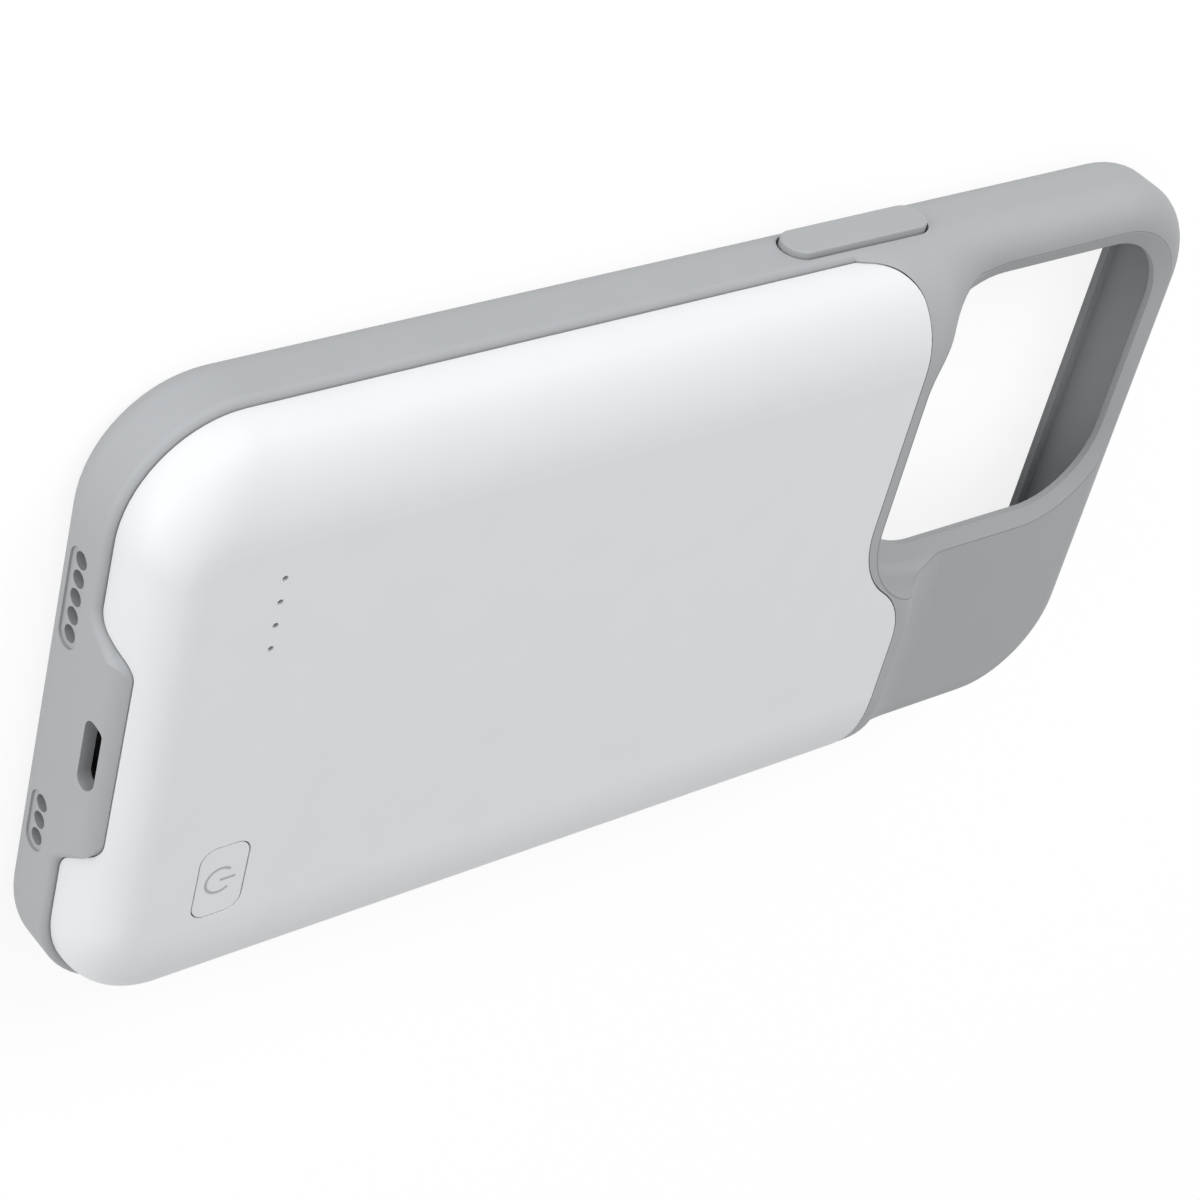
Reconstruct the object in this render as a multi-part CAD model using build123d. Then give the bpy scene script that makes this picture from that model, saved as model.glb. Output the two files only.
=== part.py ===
from build123d import *
import os
from math import atan2, cos, degrees, radians, sin, sqrt

# Battery charging case for a phone, in millimetres.
# X runs across the case, Y towards the camera end, Z out of the back.
# The case lies on its front lip, and the origin is the middle of the lip plane.

# Outer form
case_width = 78.0
case_length = 152.6
corner_radius = 14.0
thin_height = 10.8
hump_height = 16.3
lip_edge_radius = 3.6
back_edge_radius = 4.0

# Phone pocket
side_wall = 3.1
bottom_wall = 2.9
top_wall = 1.9
pocket_depth = 8.0
pocket_corner_radius = 10.75
phone_fit = 0.15
lip_thickness = 1.0
lip_overlap = 1.5

# Camera opening: its sharp lower edge, then a shallow bevel that bends up into a steep wall
camera_width = 39.7
camera_length = 39.6
camera_corner_radius = 10.5
camera_side_margin = 6.8
camera_top_margin = 4.3
camera_land = 0.85
bevel_run = 3.1
bevel_rise = 1.4
wall_spread = 0.6
camera_blend = 1.9

# White cover: an inlaid shell whose upper edge steps round the camera opening
cover_inset = 1.0
cover_wall = 1.2
cover_step = 10.0
cover_step_radius = 10.6
cover_arc_radius = 14.0
cover_arc_shift = 0.4
cover_corner_radius = 6.5
soft_corner = ((28.0, 17.0), (4.8, 57.0), (12.0, 16.0))
border_width = 1.7
rim_height = 8.6
rim_edge_radius = 0.8
parting_gap = 0.15
foot_margin = 1.2
side_run = 12.4
end_run = 6.2
end_power = 2.4
top_corner_radius = 3.0
hump_levels = 9
hump_overrun = 5.0

# Grey hump behind the cover and the cove that falls to the thin back
cove_flat = 1.0
cove_crest_radius = 3.5
cove_run = 11.5
cove_steps = 12
cove_sink = 0.02
lead_before = 1.0
lead_after = 2.3
lead_depth = 1.0

# Tab of the frame that carries the charging port
tab_top = 13.9
tab_left = -12.25
tab_right = 12.5
tab_left_slope = 3.1
tab_right_slope = 4.2
tab_corner_radius = 3.0
tab_depth = 2.2
tab_roll = 2.2

# Rabbet between frame and cover, and the plate that seats in it
rabbet_fit = 0.2
tongue_step = 0.4
tongue_wall = 1.3
tongue_height = 0.9
ledge_width = 1.0
ledge_thickness = 0.5
plate_flange = 0.5
plate_fit = 0.1

# Snap posts of the cover in cups on the plate
post_diameter = 2.6
post_fit = 0.1
cup_wall = 0.8
cup_height = 2.2
post_side = 3.2
post_first = 27.3
post_last = 13.0

# Main board and what it carries
board_thickness = 0.8
board_side_gap = 12.0
board_length = 20.0
board_end_gap = 0.6
socket_width = 8.94
socket_height = 3.26
socket_length = 7.3
socket_wall = 0.3
socket_recess = 1.8
socket_tongue_width = 6.7
socket_tongue_thickness = 0.7
socket_tongue_reach = 4.4
socket_back = 1.2
socket_fit = 0.15
port_width = 8.8
port_height = 2.6

# Power button and its switch
button_from_side = 19.6
button_from_end = 16.5
button_sink = 0.05
button_width = 9.8
button_length = 6.1
button_corner_radius = 1.8
button_gap = 0.18
button_flange = 0.9
button_flange_thickness = 0.8
button_post_diameter = 3.0
button_seat_gap = 0.1
button_travel = 0.35
switch_width = 6.0
switch_height = 1.8
plunger_diameter = 2.4
plunger_proud = 0.9
plunger_sink = 0.8
plunger_fit = 0.15

# Indicator lights
light_count = 4
light_pitch = 3.03
light_from_side = 17.42
light_from_end = 16.74
light_hole = 0.75
light_pin = 0.55
light_recess = 0.35
light_bar_width = 2.4
light_bar_thickness = 0.9
light_column = 1.5
light_gap = 0.25
led_length = 1.6
led_width = 0.8
led_height = 0.6

# Sound holes in the bottom end, each group in a shallow recess
sound_height = 4.8
sound_pitch = 2.33
sound_hole = 2.0
sound_first = (-20.03, 12.22)
sound_counts = (5, 3)
sound_recess_height = 3.2
sound_recess_depth = 0.35

# Side keys
key_height = 4.6
key_proud = 0.8
key_gap = 0.3
key_flange = 0.8
key_flange_rise = 0.45
key_flange_thickness = 0.8
key_flange_depth = 1.4
key_seat_gap = 0.1
key_edge_radius = 0.2
key_z = 5.1
side_key_from_top = 55.6
side_key_length = 21.0
volume_up_from_top = 46.8
volume_down_from_top = 61.8
volume_key_length = 12.0

# Opening for the phone's ring switch
switch_slot_from_top = 32.8
switch_slot_length = 10.4
switch_slot_height = 5.2

# Plug that enters the phone
plug_width = 8.3
plug_height = 2.5
plug_length = 6.6
plug_wall = 0.3
plug_slot_width = 6.8
plug_slot_height = 0.8
plug_slot_depth = 4.6
plug_block_left = -6.5
plug_block_right = 10.4
plug_block_height = 5.6
plug_block_depth = 1.0
plug_seat_gap = 0.1
flex_x = 8.3
flex_width = 3.6
flex_thickness = 0.2
flex_reach = 3.0
flex_gap = 0.12

# Battery cell and its protection board
cell_side_gap = 10.0
cell_board_gap = 2.1
cell_top_gap = 5.5
cell_thickness = 4.4
cell_edge_radius = 1.6
terrace_length = 3.4
terrace_thickness = 1.6
tab_strip_width = 4.0
tab_strip_thickness = 0.2
tab_strip_spacing = 22.0
guard_length = 34.0
guard_width = 2.6
guard_thickness = 0.8
wire_diameter = 1.1
wire_spacing = 5.0
pad_side_margin = 8.0
pad_end_margin = 6.0
pad_gap = 0.1

# Chips on the main board, placed from its middle
chip_row = 3.5
charger_size = (4.0, 4.0, 0.8)
controller_size = (5.0, 5.0, 0.9)
inductor_size = (6.6, 6.6, 2.8)
capacitor_size = (1.6, 0.8, 0.8)
capacitor_pitch = 2.4
capacitor_count = 6
capacitor_place = (-17.0, 7.8)

# Levels and edges worked out from the sizes above
half_width = case_width / 2
end_y = case_length / 2
pocket_top = lip_thickness + pocket_depth
pocket_width = case_width - 2 * side_wall
pocket_length = case_length - bottom_wall - top_wall
pocket_bottom_y = -end_y + bottom_wall
pocket_y = pocket_bottom_y + pocket_length / 2
side_level = thin_height - back_edge_radius
camera_x = -half_width + camera_side_margin + camera_width / 2
camera_y = end_y - camera_top_margin - camera_length / 2
camera_corner = (
    camera_x + camera_width / 2 - camera_corner_radius,
    camera_y - camera_length / 2 + camera_corner_radius,
)
crest_radius = camera_corner_radius + bevel_run + wall_spread
cover_side = half_width - cover_inset
cover_low = -end_y + cover_inset
cover_top_left = camera_corner[1] - crest_radius - border_width
cover_top_right = cover_top_left + cover_step
arc_center = (camera_corner[0] - cover_arc_shift, cover_top_left + cover_arc_radius)
step_center_y = cover_top_right - cover_step_radius
step_reach = cover_arc_radius + cover_step_radius
step_center_x = arc_center[0] + sqrt(step_reach**2 - (arc_center[1] - step_center_y) ** 2)
step_turn = degrees(atan2(arc_center[1] - step_center_y, arc_center[0] - step_center_x))
cover_base = rim_height + parting_gap
ceiling = hump_height - cover_wall
ledge_top = pocket_top + ledge_thickness
plate_top = ledge_top + plate_flange
tongue_inset = cover_wall + rabbet_fit
seat_inset = tongue_inset + tongue_wall
window_inset = seat_inset + ledge_width
board_top = plate_top + board_thickness
board_width = 2 * (cover_side - board_side_gap)
board_y = cover_low + seat_inset + board_end_gap + board_length / 2
switch_top = board_top + switch_height
plunger_top = switch_top + plunger_proud
socket_z = plate_top + socket_height / 2
socket_front = -end_y + socket_recess
cell_width = 2 * (cover_side - cell_side_gap)
cell_start = board_y + board_length / 2 + cell_board_gap + terrace_length
cell_end = cover_top_left - cell_top_gap
cell_base = plate_top
cell_top = cell_base + cell_thickness
flange_top = ceiling - button_seat_gap
flange_bottom = flange_top - button_flange_thickness
button_x = half_width - button_from_side
button_y = -end_y + button_from_end
light_first_x = -half_width + light_from_side
light_y = -end_y + light_from_end
plug_z = lip_thickness + (pocket_depth - phone_fit) / 2
key_shoulder = half_width - key_flange_depth
side_key_y = end_y - side_key_from_top
volume_up_y = end_y - volume_up_from_top
volume_down_y = end_y - volume_down_from_top
switch_slot_y = end_y - switch_slot_from_top


def block(size, center):
    """A box given by its size and its middle."""
    return Pos(*center) * Box(*size)


def prism(sketch, low, high):
    """A plan outline raised between two levels."""
    return extrude(Pos(0, 0, low) * sketch, amount=high - low, dir=(0, 0, 1))


def along_x(sketch, start, stop):
    """An outline drawn in Y and Z, carried along X."""
    plane = Plane((start, 0, 0), x_dir=(0, 1, 0), z_dir=(1, 0, 0))
    return extrude(plane * sketch, amount=stop - start, dir=(1, 0, 0))


def along_y(sketch, start, stop):
    """An outline drawn in X and Z, carried along Y."""
    plane = Plane((0, start, 0), x_dir=(1, 0, 0), z_dir=(0, -1, 0))
    return extrude(plane * sketch, amount=stop - start, dir=(0, 1, 0))


def rounded(width, length, radius, x=0.0, y=0.0):
    return Pos(x, y) * RectangleRounded(width, length, radius)


def outline(points, radii):
    """A polygon whose listed corners are rounded: radii maps a corner's number to its radius."""
    shape = Polygon(*points, align=None)
    for number, radius in radii.items():
        x, y = points[number]
        corner = shape.vertices().sort_by_distance((x, y, 0))[0]
        shape = fillet(corner, radius)
    return shape


def soft_corner_arcs():
    """The cover's upper corner on the camera side: arcs that turn from its top edge into its side."""
    heading = 180.0
    x = 0.0
    y = 0.0
    arcs = []
    for radius, turn in soft_corner:
        x -= radius * sin(radians(heading))
        y += radius * cos(radians(heading))
        arcs.append(((x, y), radius, heading - 90, turn))
        heading += turn
        x += radius * sin(radians(heading))
        y -= radius * cos(radians(heading))
    return arcs, -x, -y


def corner_starts():
    """Where the cover's two upper corners begin to turn: on the camera side, then on the other side."""
    return cover_top_left - soft_corner_arcs()[2], cover_top_right - cover_corner_radius


def cover_plan(grow=0.0):
    """Plan of the cover, grown by a distance: straight sides, rounded corners and a step round the camera."""
    side = cover_side
    low = cover_low
    radius = corner_radius - cover_inset
    upper = cover_corner_radius
    center = (step_center_x, step_center_y)
    arcs, run, fall = soft_corner_arcs()
    left, right = cover_top_left, cover_top_right
    edges = [
        Line((side, low + radius), (side, right - upper)),
        CenterArc((side - upper, right - upper), upper, 0, 90),
        Line((side - upper, right), (center[0], right)),
        CenterArc(center, cover_step_radius, 90, step_turn - 90),
        CenterArc(arc_center, cover_arc_radius, step_turn - 180, 90 - step_turn),
        Line((arc_center[0], left), (run - side, left)),
    ]
    for (x, y), arc_radius, start, turn in arcs:
        edges.append(CenterArc((run - side + x, left + y), arc_radius, start, turn))
    edges += [
        Line((-side, left - fall), (-side, low + radius)),
        CenterArc((radius - side, low + radius), radius, 180, 90),
        Line((radius - side, low), (side - radius, low)),
        CenterArc((side - radius, low + radius), radius, 270, 90),
    ]
    base = make_face(edges)
    return offset(base, amount=grow) if grow else base


def below(left, right, edge, low):
    """Plan of everything up to one level on the camera side and another on the other side."""
    return Polygon((-edge, low), (edge, low), (edge, right), (step_center_x, right), (step_center_x, left),
                   (-edge, left), align=None)


def cover_trim(grow=0.0):
    """The same upper edge with the sides below it moved out, to cut the hump off along that edge only."""
    left, right = corner_starts()
    return cover_plan(grow) + below(left, right, half_width, -end_y - 1)


def hump(inset, base, top, run, end, skirt=0.0):
    """A block with a flat top whose sides roll over as an ellipse and whose lower end rolls tighter."""
    stop = cover_top_right + hump_overrun
    sections = []
    for level in range(hump_levels + 1):
        angle = radians(90 * level / hump_levels)
        rise = min(sin(angle), 1.0)
        side = half_width - inset - run * (1 - cos(angle))
        low = -end_y + inset + end * (1 - (1 - rise**end_power) ** (1 / end_power))
        start_radius = corner_radius - inset
        radius = start_radius - (start_radius - top_corner_radius) * (1 - cos(angle))
        plate = Pos(0, (low + stop) / 2) * Rectangle(2 * side, stop - low)
        plate = fillet(plate.vertices().sort_by(Axis.Y)[:2], radius)
        sections.append(Pos(0, 0, base + (top - base) * rise) * plate)
    body = loft(sections)
    if skirt:
        body += extrude(sections[0], amount=skirt, dir=(0, 0, -1))
    return body


def camera_outline(grow):
    return rounded(
        camera_width + 2 * grow, camera_length + 2 * grow, camera_corner_radius + grow, camera_x, camera_y
    )


def camera_cut():
    """The camera opening: a straight land, a shallow bevel and a steep wall that spreads up the hump."""
    land_top = pocket_top + camera_land
    bevel_top = land_top + bevel_rise
    clear = hump_height + 1
    steep = wall_spread * (clear - bevel_top) / (hump_height - bevel_top)
    land = prism(camera_outline(0), lip_thickness, land_top)
    bevel = loft([Pos(0, 0, land_top) * camera_outline(0), Pos(0, 0, bevel_top) * camera_outline(bevel_run)])
    low_wall = Pos(0, 0, bevel_top) * camera_outline(bevel_run)
    wall = loft([low_wall, Pos(0, 0, clear) * camera_outline(bevel_run + steep)])
    body = land + bevel + wall
    bend = body.edges().filter_by_position(Axis.Z, bevel_top - 0.01, bevel_top + 0.01)
    return fillet(bend, camera_blend)


def cove_turn(low):
    """How far the cove leans at its steepest, and the radius of its foot."""
    turn = 2 * atan2(hump_height - low, cove_run)
    return turn, cove_run / sin(turn) - cove_crest_radius


def cove_height(distance, low):
    """Height of the cove at a distance from its crest: a rounded crest, then a hollow that ends level."""
    turn, foot = cove_turn(low)
    if distance < cove_crest_radius * sin(turn):
        return hump_height - cove_crest_radius + sqrt(cove_crest_radius**2 - distance**2)
    return low + foot - sqrt(foot**2 - (cove_run - distance) ** 2)


def shoulder_section(inner, y, top):
    """Half a section of the hump: flat from inner outwards, then an ellipse down to the side wall."""
    rise = top - side_level
    full_rise = hump_height - side_level
    full_run = side_run + cover_inset
    share = (rise - back_edge_radius) / (full_rise - back_edge_radius)
    run = back_edge_radius + (full_run - back_edge_radius) * share
    flat = half_width - run
    edges = [
        Line((inner, side_level), (half_width, side_level)),
        EllipticalCenterArc((flat, side_level), run, rise, 0, arc_size=90),
        Line((flat, top), (inner, top)),
        Line((inner, top), (inner, side_level)),
    ]
    return Plane((0, y, 0), x_dir=(1, 0, 0), z_dir=(0, -1, 0)) * make_face(edges)


def lead_section(inner, y, run, rise, top):
    """Half a section of the lead-in: flat from inner outwards, a quarter ellipse, then the side wall."""
    foot = side_level - lead_depth
    flat = half_width - run
    edges = [
        Line((inner, foot), (half_width, foot)),
        Line((half_width, foot), (half_width, top - rise)),
        EllipticalCenterArc((flat, top - rise), run, rise, 0, arc_size=90),
        Line((flat, top), (inner, top)),
        Line((inner, top), (inner, foot)),
    ]
    return Plane((0, y, 0), x_dir=(1, 0, 0), z_dir=(0, -1, 0)) * make_face(edges)


def shoulder(inner, start, edge, flat):
    """One side of the grey hump, from inner outwards: a lead-in from the rim, a level length and the cove."""
    stop = edge - lead_after
    crest = edge + flat
    rim = lead_section(inner, start, rim_edge_radius, rim_edge_radius, rim_height)
    full = lead_section(inner, stop, side_run + cover_inset, hump_height - side_level, hump_height)
    body = loft([rim, full], ruled=True)
    body += extrude(full, amount=crest - stop, dir=(0, 1, 0))
    slope = []
    for step in range(cove_steps + 1):
        distance = cove_run * step / cove_steps
        slope.append(shoulder_section(inner, crest + distance, cove_height(distance, thin_height)))
    return body + loft(slope)


def rim(left, right):
    """The low rim round the cover, with its outer edge rounded."""
    plan = rounded(case_width, case_length, corner_radius) & below(left, right, half_width + 1, -end_y - 1)
    body = prism(plan, side_level, rim_height)
    edges = []
    for edge in body.faces().sort_by(Axis.Z)[-1].edges():
        middle = edge.center()
        if abs(middle.X) > half_width - rim_edge_radius or middle.Y < -end_y + corner_radius:
            edges.append(edge)
    return fillet(edges, rim_edge_radius)


def step_cove():
    """The cove where it turns round the step of the cover's upper edge."""
    crest = cover_step_radius + cove_flat
    low = thin_height - cove_sink
    turn, foot = cove_turn(low)
    lean = degrees(turn)
    edges = [
        Line((0, hump_height), (crest, hump_height)),
        CenterArc((crest, hump_height - cove_crest_radius), cove_crest_radius, 90, -lean),
        CenterArc((crest + cove_run, low + foot), foot, 270 - lean, lean),
        Line((crest + cove_run, low), (crest + cove_run, side_level)),
        Line((crest + cove_run, side_level), (0, side_level)),
        Line((0, side_level), (0, hump_height)),
    ]
    plane = Plane((step_center_x, step_center_y, 0), x_dir=(0, 1, 0), z_dir=(1, 0, 0))
    axis = Axis((step_center_x, step_center_y, 0), (0, 0, 1))
    return revolve(plane * make_face(edges), axis, step_turn - 90)


def with_grey_hump(body):
    """The thin body with the low rim and the frame's own part of the hump set on it."""
    left, right = [start - lead_before for start in corner_starts()]
    left_stop = cover_top_left + border_width + cove_run
    right_stop = cover_top_right + cove_flat + cove_run
    inner = arc_center[0]
    wide = half_width + 1
    left_room = Polygon((-wide, left), (inner, left), (inner, left_stop), (-wide, left_stop), align=None)
    right_room = Polygon(
        (step_center_x, right), (wide, right), (wide, right_stop), (step_center_x, right_stop), align=None
    )
    for room in (below(left, right, wide, -end_y - 1), left_room, right_room):
        body -= prism(room, side_level, hump_height + 1)
    body += rim(left, right)
    body += shoulder(step_center_x, right, cover_top_right, cove_flat)
    body += mirror(shoulder(-inner, left, cover_top_left, border_width), about=Plane.YZ)
    step_center = (step_center_x, step_center_y)
    middle = Polygon((inner, left), (step_center_x, left), step_center, arc_center, align=None)
    body += prism(middle, side_level, hump_height)
    return body + step_cove()


def slab():
    """The thin rounded body of the frame."""
    body = prism(rounded(case_width, case_length, corner_radius), 0, thin_height)
    body = fillet(body.faces().sort_by(Axis.Z)[-1].edges(), back_edge_radius)
    return fillet(body.faces().sort_by(Axis.Z)[0].edges(), lip_edge_radius)


def tab_outline(grow=0.0):
    """Front view of the port tab: two leaning sides with soft S-shaped feet."""
    foot = rim_height - 0.5
    wide = half_width - corner_radius
    points = [
        (-wide, foot - 1),
        (-wide, rim_height),
        (tab_left - tab_left_slope, rim_height),
        (tab_left, tab_top),
        (tab_right, tab_top),
        (tab_right + tab_right_slope, rim_height),
        (wide, rim_height),
        (wide, foot - 1),
    ]
    shape = outline(points, {number: tab_corner_radius for number in (2, 3, 4, 5)})
    return offset(shape, amount=grow) if grow else shape


def port_tab():
    """The tab itself, rolled back at its top."""
    face = along_y(tab_outline(), -end_y, -end_y + tab_depth)
    front = face.faces().sort_by(Axis.Y)[0].edges()
    upper = [edge for edge in front if edge.center().Z > rim_height - rim_edge_radius / 2]
    face = fillet(upper, rim_edge_radius)
    low = rim_height - 2
    profile = [
        Line((-end_y, low), (-end_y, tab_top - tab_roll)),
        CenterArc((-end_y + tab_roll, tab_top - tab_roll), tab_roll, 90, 90),
        Line((-end_y + tab_roll, tab_top), (-end_y + 4 * tab_roll, tab_top)),
        Line((-end_y + 4 * tab_roll, tab_top), (-end_y + 4 * tab_roll, low)),
        Line((-end_y + 4 * tab_roll, low), (-end_y, low)),
    ]
    return face & along_x(make_face(profile), -half_width, half_width)


def groove_zone(shift):
    """Plan of the cover's foot, up to a little past where the cover's rising edge leaves the rim groove."""
    left, right = corner_starts()
    share = (ledge_top - rim_height) / (hump_height - cover_base)
    drift = side_run * (1 - sqrt(1 - share**2))
    left += sqrt(2 * soft_corner[-1][0] * drift) + foot_margin + shift
    right += sqrt(2 * cover_corner_radius * drift) + foot_margin + shift
    return below(left, right, half_width, -end_y - 1)


def cover_room():
    """What the cover takes out of the frame: the hump inside its edge and a groove along the rim."""
    high = hump_height + 2
    inside = prism(cover_trim(parting_gap), ledge_top, high)
    groove = prism(groove_zone(0) & cover_plan(parting_gap), rim_height, high)
    return inside + (groove - prism(cover_plan(-tongue_inset), 0, high))


def pill(length, height, y, z, start, stop):
    """A rounded bar across a side wall, drawn in Y and Z and carried along X."""
    return along_x(Pos(y, z) * SlotOverall(length, height), start, stop)


def end_slot(width, height, x, z, start, stop):
    """A rounded bar across the lower end, drawn in X and Z and carried along Y."""
    shape = Circle(width / 2) if width <= height else SlotOverall(width, height)
    return along_y(Pos(x, z) * shape, start, stop)


def key_cut(length, y):
    """Slot and inner room for a key on the +X side."""
    slot = pill(length + 2 * key_gap, key_height + 2 * key_gap, y, key_z, 0.9 * half_width, half_width + 1)
    long = length + 2 * (key_flange + key_gap)
    high = key_height + 2 * (key_flange_rise + key_gap)
    room = pill(long, high, y, key_z, pocket_width / 2 - 1, key_shoulder)
    return slot + room


def key(length, y):
    """A key on the +X side: a rounded bar with a flange behind the wall."""
    face = half_width + key_proud
    back = key_shoulder - key_seat_gap
    bar = pill(length, key_height, y, key_z, back - key_flange_thickness, face)
    bar = fillet(bar.faces().sort_by(Axis.X)[-1].edges(), key_edge_radius)
    long = length + 2 * key_flange
    high = key_height + 2 * key_flange_rise
    flange = pill(long, high, y, key_z, back - key_flange_thickness, back)
    return bar + flange


def sound_cuts():
    """Rows of round holes through the lower end, each row in a shallow recess."""
    cuts = []
    floor = -end_y + sound_recess_depth
    for first, count in zip(sound_first, sound_counts):
        width = (count - 1) * sound_pitch + sound_recess_height
        middle = first + (count - 1) * sound_pitch / 2
        cuts.append(end_slot(width, sound_recess_height, middle, sound_height, -end_y - 1, floor))
        for number in range(count):
            x = first + number * sound_pitch
            cuts.append(end_slot(sound_hole, sound_hole, x, sound_height, -end_y - 1, pocket_bottom_y + 1))
    return cuts


def socket_hole():
    """The close hole round the socket shell, behind the port's mouth."""
    width = socket_width + 2 * socket_fit
    height = socket_height + 2 * socket_fit
    return end_slot(width, height, 0, socket_z, socket_front - socket_fit, cover_low + end_run)


def plug_block_box(grow):
    width = plug_block_right - plug_block_left + 2 * grow
    middle = (plug_block_left + plug_block_right) / 2
    high = plug_block_height + 2 * grow
    return block((width, plug_block_depth, high), (middle, pocket_bottom_y - plug_block_depth / 2, plug_z))


def flex_boxes(grow):
    """The flat circuit's upright behind the plug block and its level end on the board."""
    back = pocket_bottom_y - plug_block_depth - flex_thickness
    foot = plug_z - plug_block_height / 2
    top = board_top + flex_thickness
    wide = flex_width + 2 * grow
    end = board_y - board_length / 2 + flex_reach
    upright = block(
        (wide, flex_thickness + 2 * grow, top - foot + 2 * grow),
        (flex_x, back + flex_thickness / 2, (foot + top) / 2),
    )
    level = block(
        (wide, end - back + 2 * grow, flex_thickness + 2 * grow),
        (flex_x, (back + end) / 2, board_top + flex_thickness / 2),
    )
    return upright + level


def bumper_frame():
    frame = with_grey_hump(slab())
    frame -= cover_room()
    frame += port_tab()
    low_tongue = prism(cover_plan(-tongue_inset), side_level, ledge_top)
    tongue = prism(cover_plan(-tongue_inset - tongue_step), side_level, ledge_top + tongue_height)
    frame = frame + low_tongue + tongue
    frame -= prism(cover_plan(-seat_inset), ledge_top, hump_height)
    frame -= prism(cover_plan(-window_inset), lip_thickness, hump_height)
    pocket = rounded(pocket_width, pocket_length, pocket_corner_radius, 0, pocket_y)
    frame -= prism(pocket, lip_thickness, pocket_top)
    frame -= prism(offset(pocket, amount=-lip_overlap), -1, lip_thickness)
    frame -= camera_cut()
    frame -= end_slot(port_width, port_height, 0, socket_z, -end_y - 1, socket_front)
    frame -= socket_hole()
    frame -= sound_cuts()
    inside = pocket_width / 2 - 1
    outside = half_width + 1
    frame -= [
        key_cut(volume_key_length, volume_up_y),
        key_cut(volume_key_length, volume_down_y),
        mirror(key_cut(side_key_length, side_key_y), about=Plane.YZ),
        pill(switch_slot_length, switch_slot_height, switch_slot_y, key_z, inside, outside),
        plug_block_box(plug_seat_gap),
        flex_boxes(flex_gap),
    ]
    return frame


def post_places():
    x = cover_side - seat_inset - plate_fit - post_side
    first = cover_low + post_first
    last = cover_top_left - post_last
    return [(side * x, y) for side in (-1, 1) for y in (first, (first + last) / 2, last)]


def battery_cover():
    shell = hump(cover_inset, cover_base, hump_height, side_run, end_run)
    shell &= prism(cover_trim(), 0, hump_height + 1)
    inset = cover_inset + cover_wall
    inner = hump(inset, cover_base, ceiling, side_run - cover_wall, end_run - cover_wall, parting_gap)
    shell -= inner & prism(cover_trim(-cover_wall), 0, hump_height)
    beyond = prism(Rectangle(2 * case_width, 2 * case_length), 0, ledge_top + parting_gap)
    shell -= beyond - prism(groove_zone(-2 * parting_gap), -1, hump_height)
    shell -= along_y(tab_outline(parting_gap), -end_y - 1, -end_y + tab_depth + parting_gap)
    shell -= socket_hole()
    shell -= flex_boxes(flex_gap)
    for x, y in post_places():
        shell += Pos(x, y, plate_top) * Cylinder(
            post_diameter / 2, ceiling - cover_wall - plate_top, align=(Align.CENTER, Align.CENTER, Align.MIN)
        )
    shell -= prism(button_outline(button_gap), ceiling - 1, hump_height + 1)
    for x in light_places():
        shell -= Pos(x, light_y, hump_height) * Cylinder(light_hole / 2, 4 * cover_wall)
    return shell


def light_places():
    return [light_first_x + number * light_pitch for number in range(light_count)]


def upright(diameter, x, y, low, high):
    """A round post between two levels."""
    return Pos(x, y, (low + high) / 2) * Cylinder(diameter / 2, high - low)


def button_outline(grow):
    width = button_width + 2 * grow
    return rounded(width, button_length + 2 * grow, button_corner_radius + grow, button_x, button_y)


def power_button():
    body = prism(button_outline(0), flange_bottom, hump_height - button_sink)
    body += prism(button_outline(button_flange), flange_bottom, flange_top)
    return body + upright(button_post_diameter, button_x, button_y, plunger_top, flange_bottom)


def switch_plunger():
    return upright(plunger_diameter, button_x, button_y, switch_top - plunger_sink, plunger_top)


def tact_switch():
    middle = (button_x, button_y, board_top + switch_height / 2)
    body = block((switch_width, switch_width, switch_height), middle)
    floor = switch_top - plunger_sink - button_travel - plunger_fit
    return body - upright(plunger_diameter + 2 * plunger_fit, button_x, button_y, floor, switch_top + 1)


def light_pipe():
    places = light_places()
    length = places[-1] - places[0] + light_bar_width
    middle = (places[0] + places[-1]) / 2
    low = ceiling - light_bar_thickness
    size = (length, light_bar_width, light_bar_thickness)
    body = block(size, (middle, light_y, ceiling - light_bar_thickness / 2))
    for x in places:
        body += upright(light_pin, x, light_y, ceiling, hump_height - light_recess)
        body += upright(light_column, x, light_y, board_top + led_height + light_gap, low)
    return body


def indicator_leds():
    size = (led_length, led_width, led_height)
    return Compound([block(size, (x, light_y, board_top + led_height / 2)) for x in light_places()])


def inner_plate():
    plate = prism(cover_plan(-window_inset - plate_fit), pocket_top, ledge_top)
    plate += prism(cover_plan(-seat_inset - plate_fit), ledge_top, plate_top)
    bore = post_diameter + 2 * post_fit
    for x, y in post_places():
        plate += upright(bore + 2 * cup_wall, x, y, ledge_top, plate_top + cup_height)
        plate -= upright(bore, x, y, plate_top, plate_top + cup_height + 1)
    return plate


def main_board():
    """The board, with a notch in its end that the charging socket sits in."""
    level = plate_top + board_thickness / 2
    notch_end = socket_front + socket_length + socket_fit
    notch_length = notch_end - cover_low
    notch = (socket_width + 2 * socket_fit, notch_length, 2 * board_thickness)
    board = block((board_width, board_length, board_thickness), (0, board_y, level))
    return board - block(notch, (0, notch_end - notch_length / 2, level))


def on_board(size, place):
    return block(size, (place[0], board_y + place[1], board_top + size[2] / 2))


def chip_places():
    """Places of the charger, controller and inductor, spread evenly between the lights and the switch."""
    sizes = (charger_size, controller_size, inductor_size)
    start = light_places()[-1] + led_length / 2
    stop = button_x - switch_width / 2
    gap = (stop - start - sum(size[0] for size in sizes)) / (len(sizes) + 1)
    places = []
    for size in sizes:
        start += gap + size[0]
        places.append((start - size[0] / 2, chip_row))
    return places


def capacitors():
    x, y = capacitor_place
    places = [(x + number * capacitor_pitch, y) for number in range(capacitor_count)]
    return Compound([on_board(capacitor_size, place) for place in places])


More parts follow.
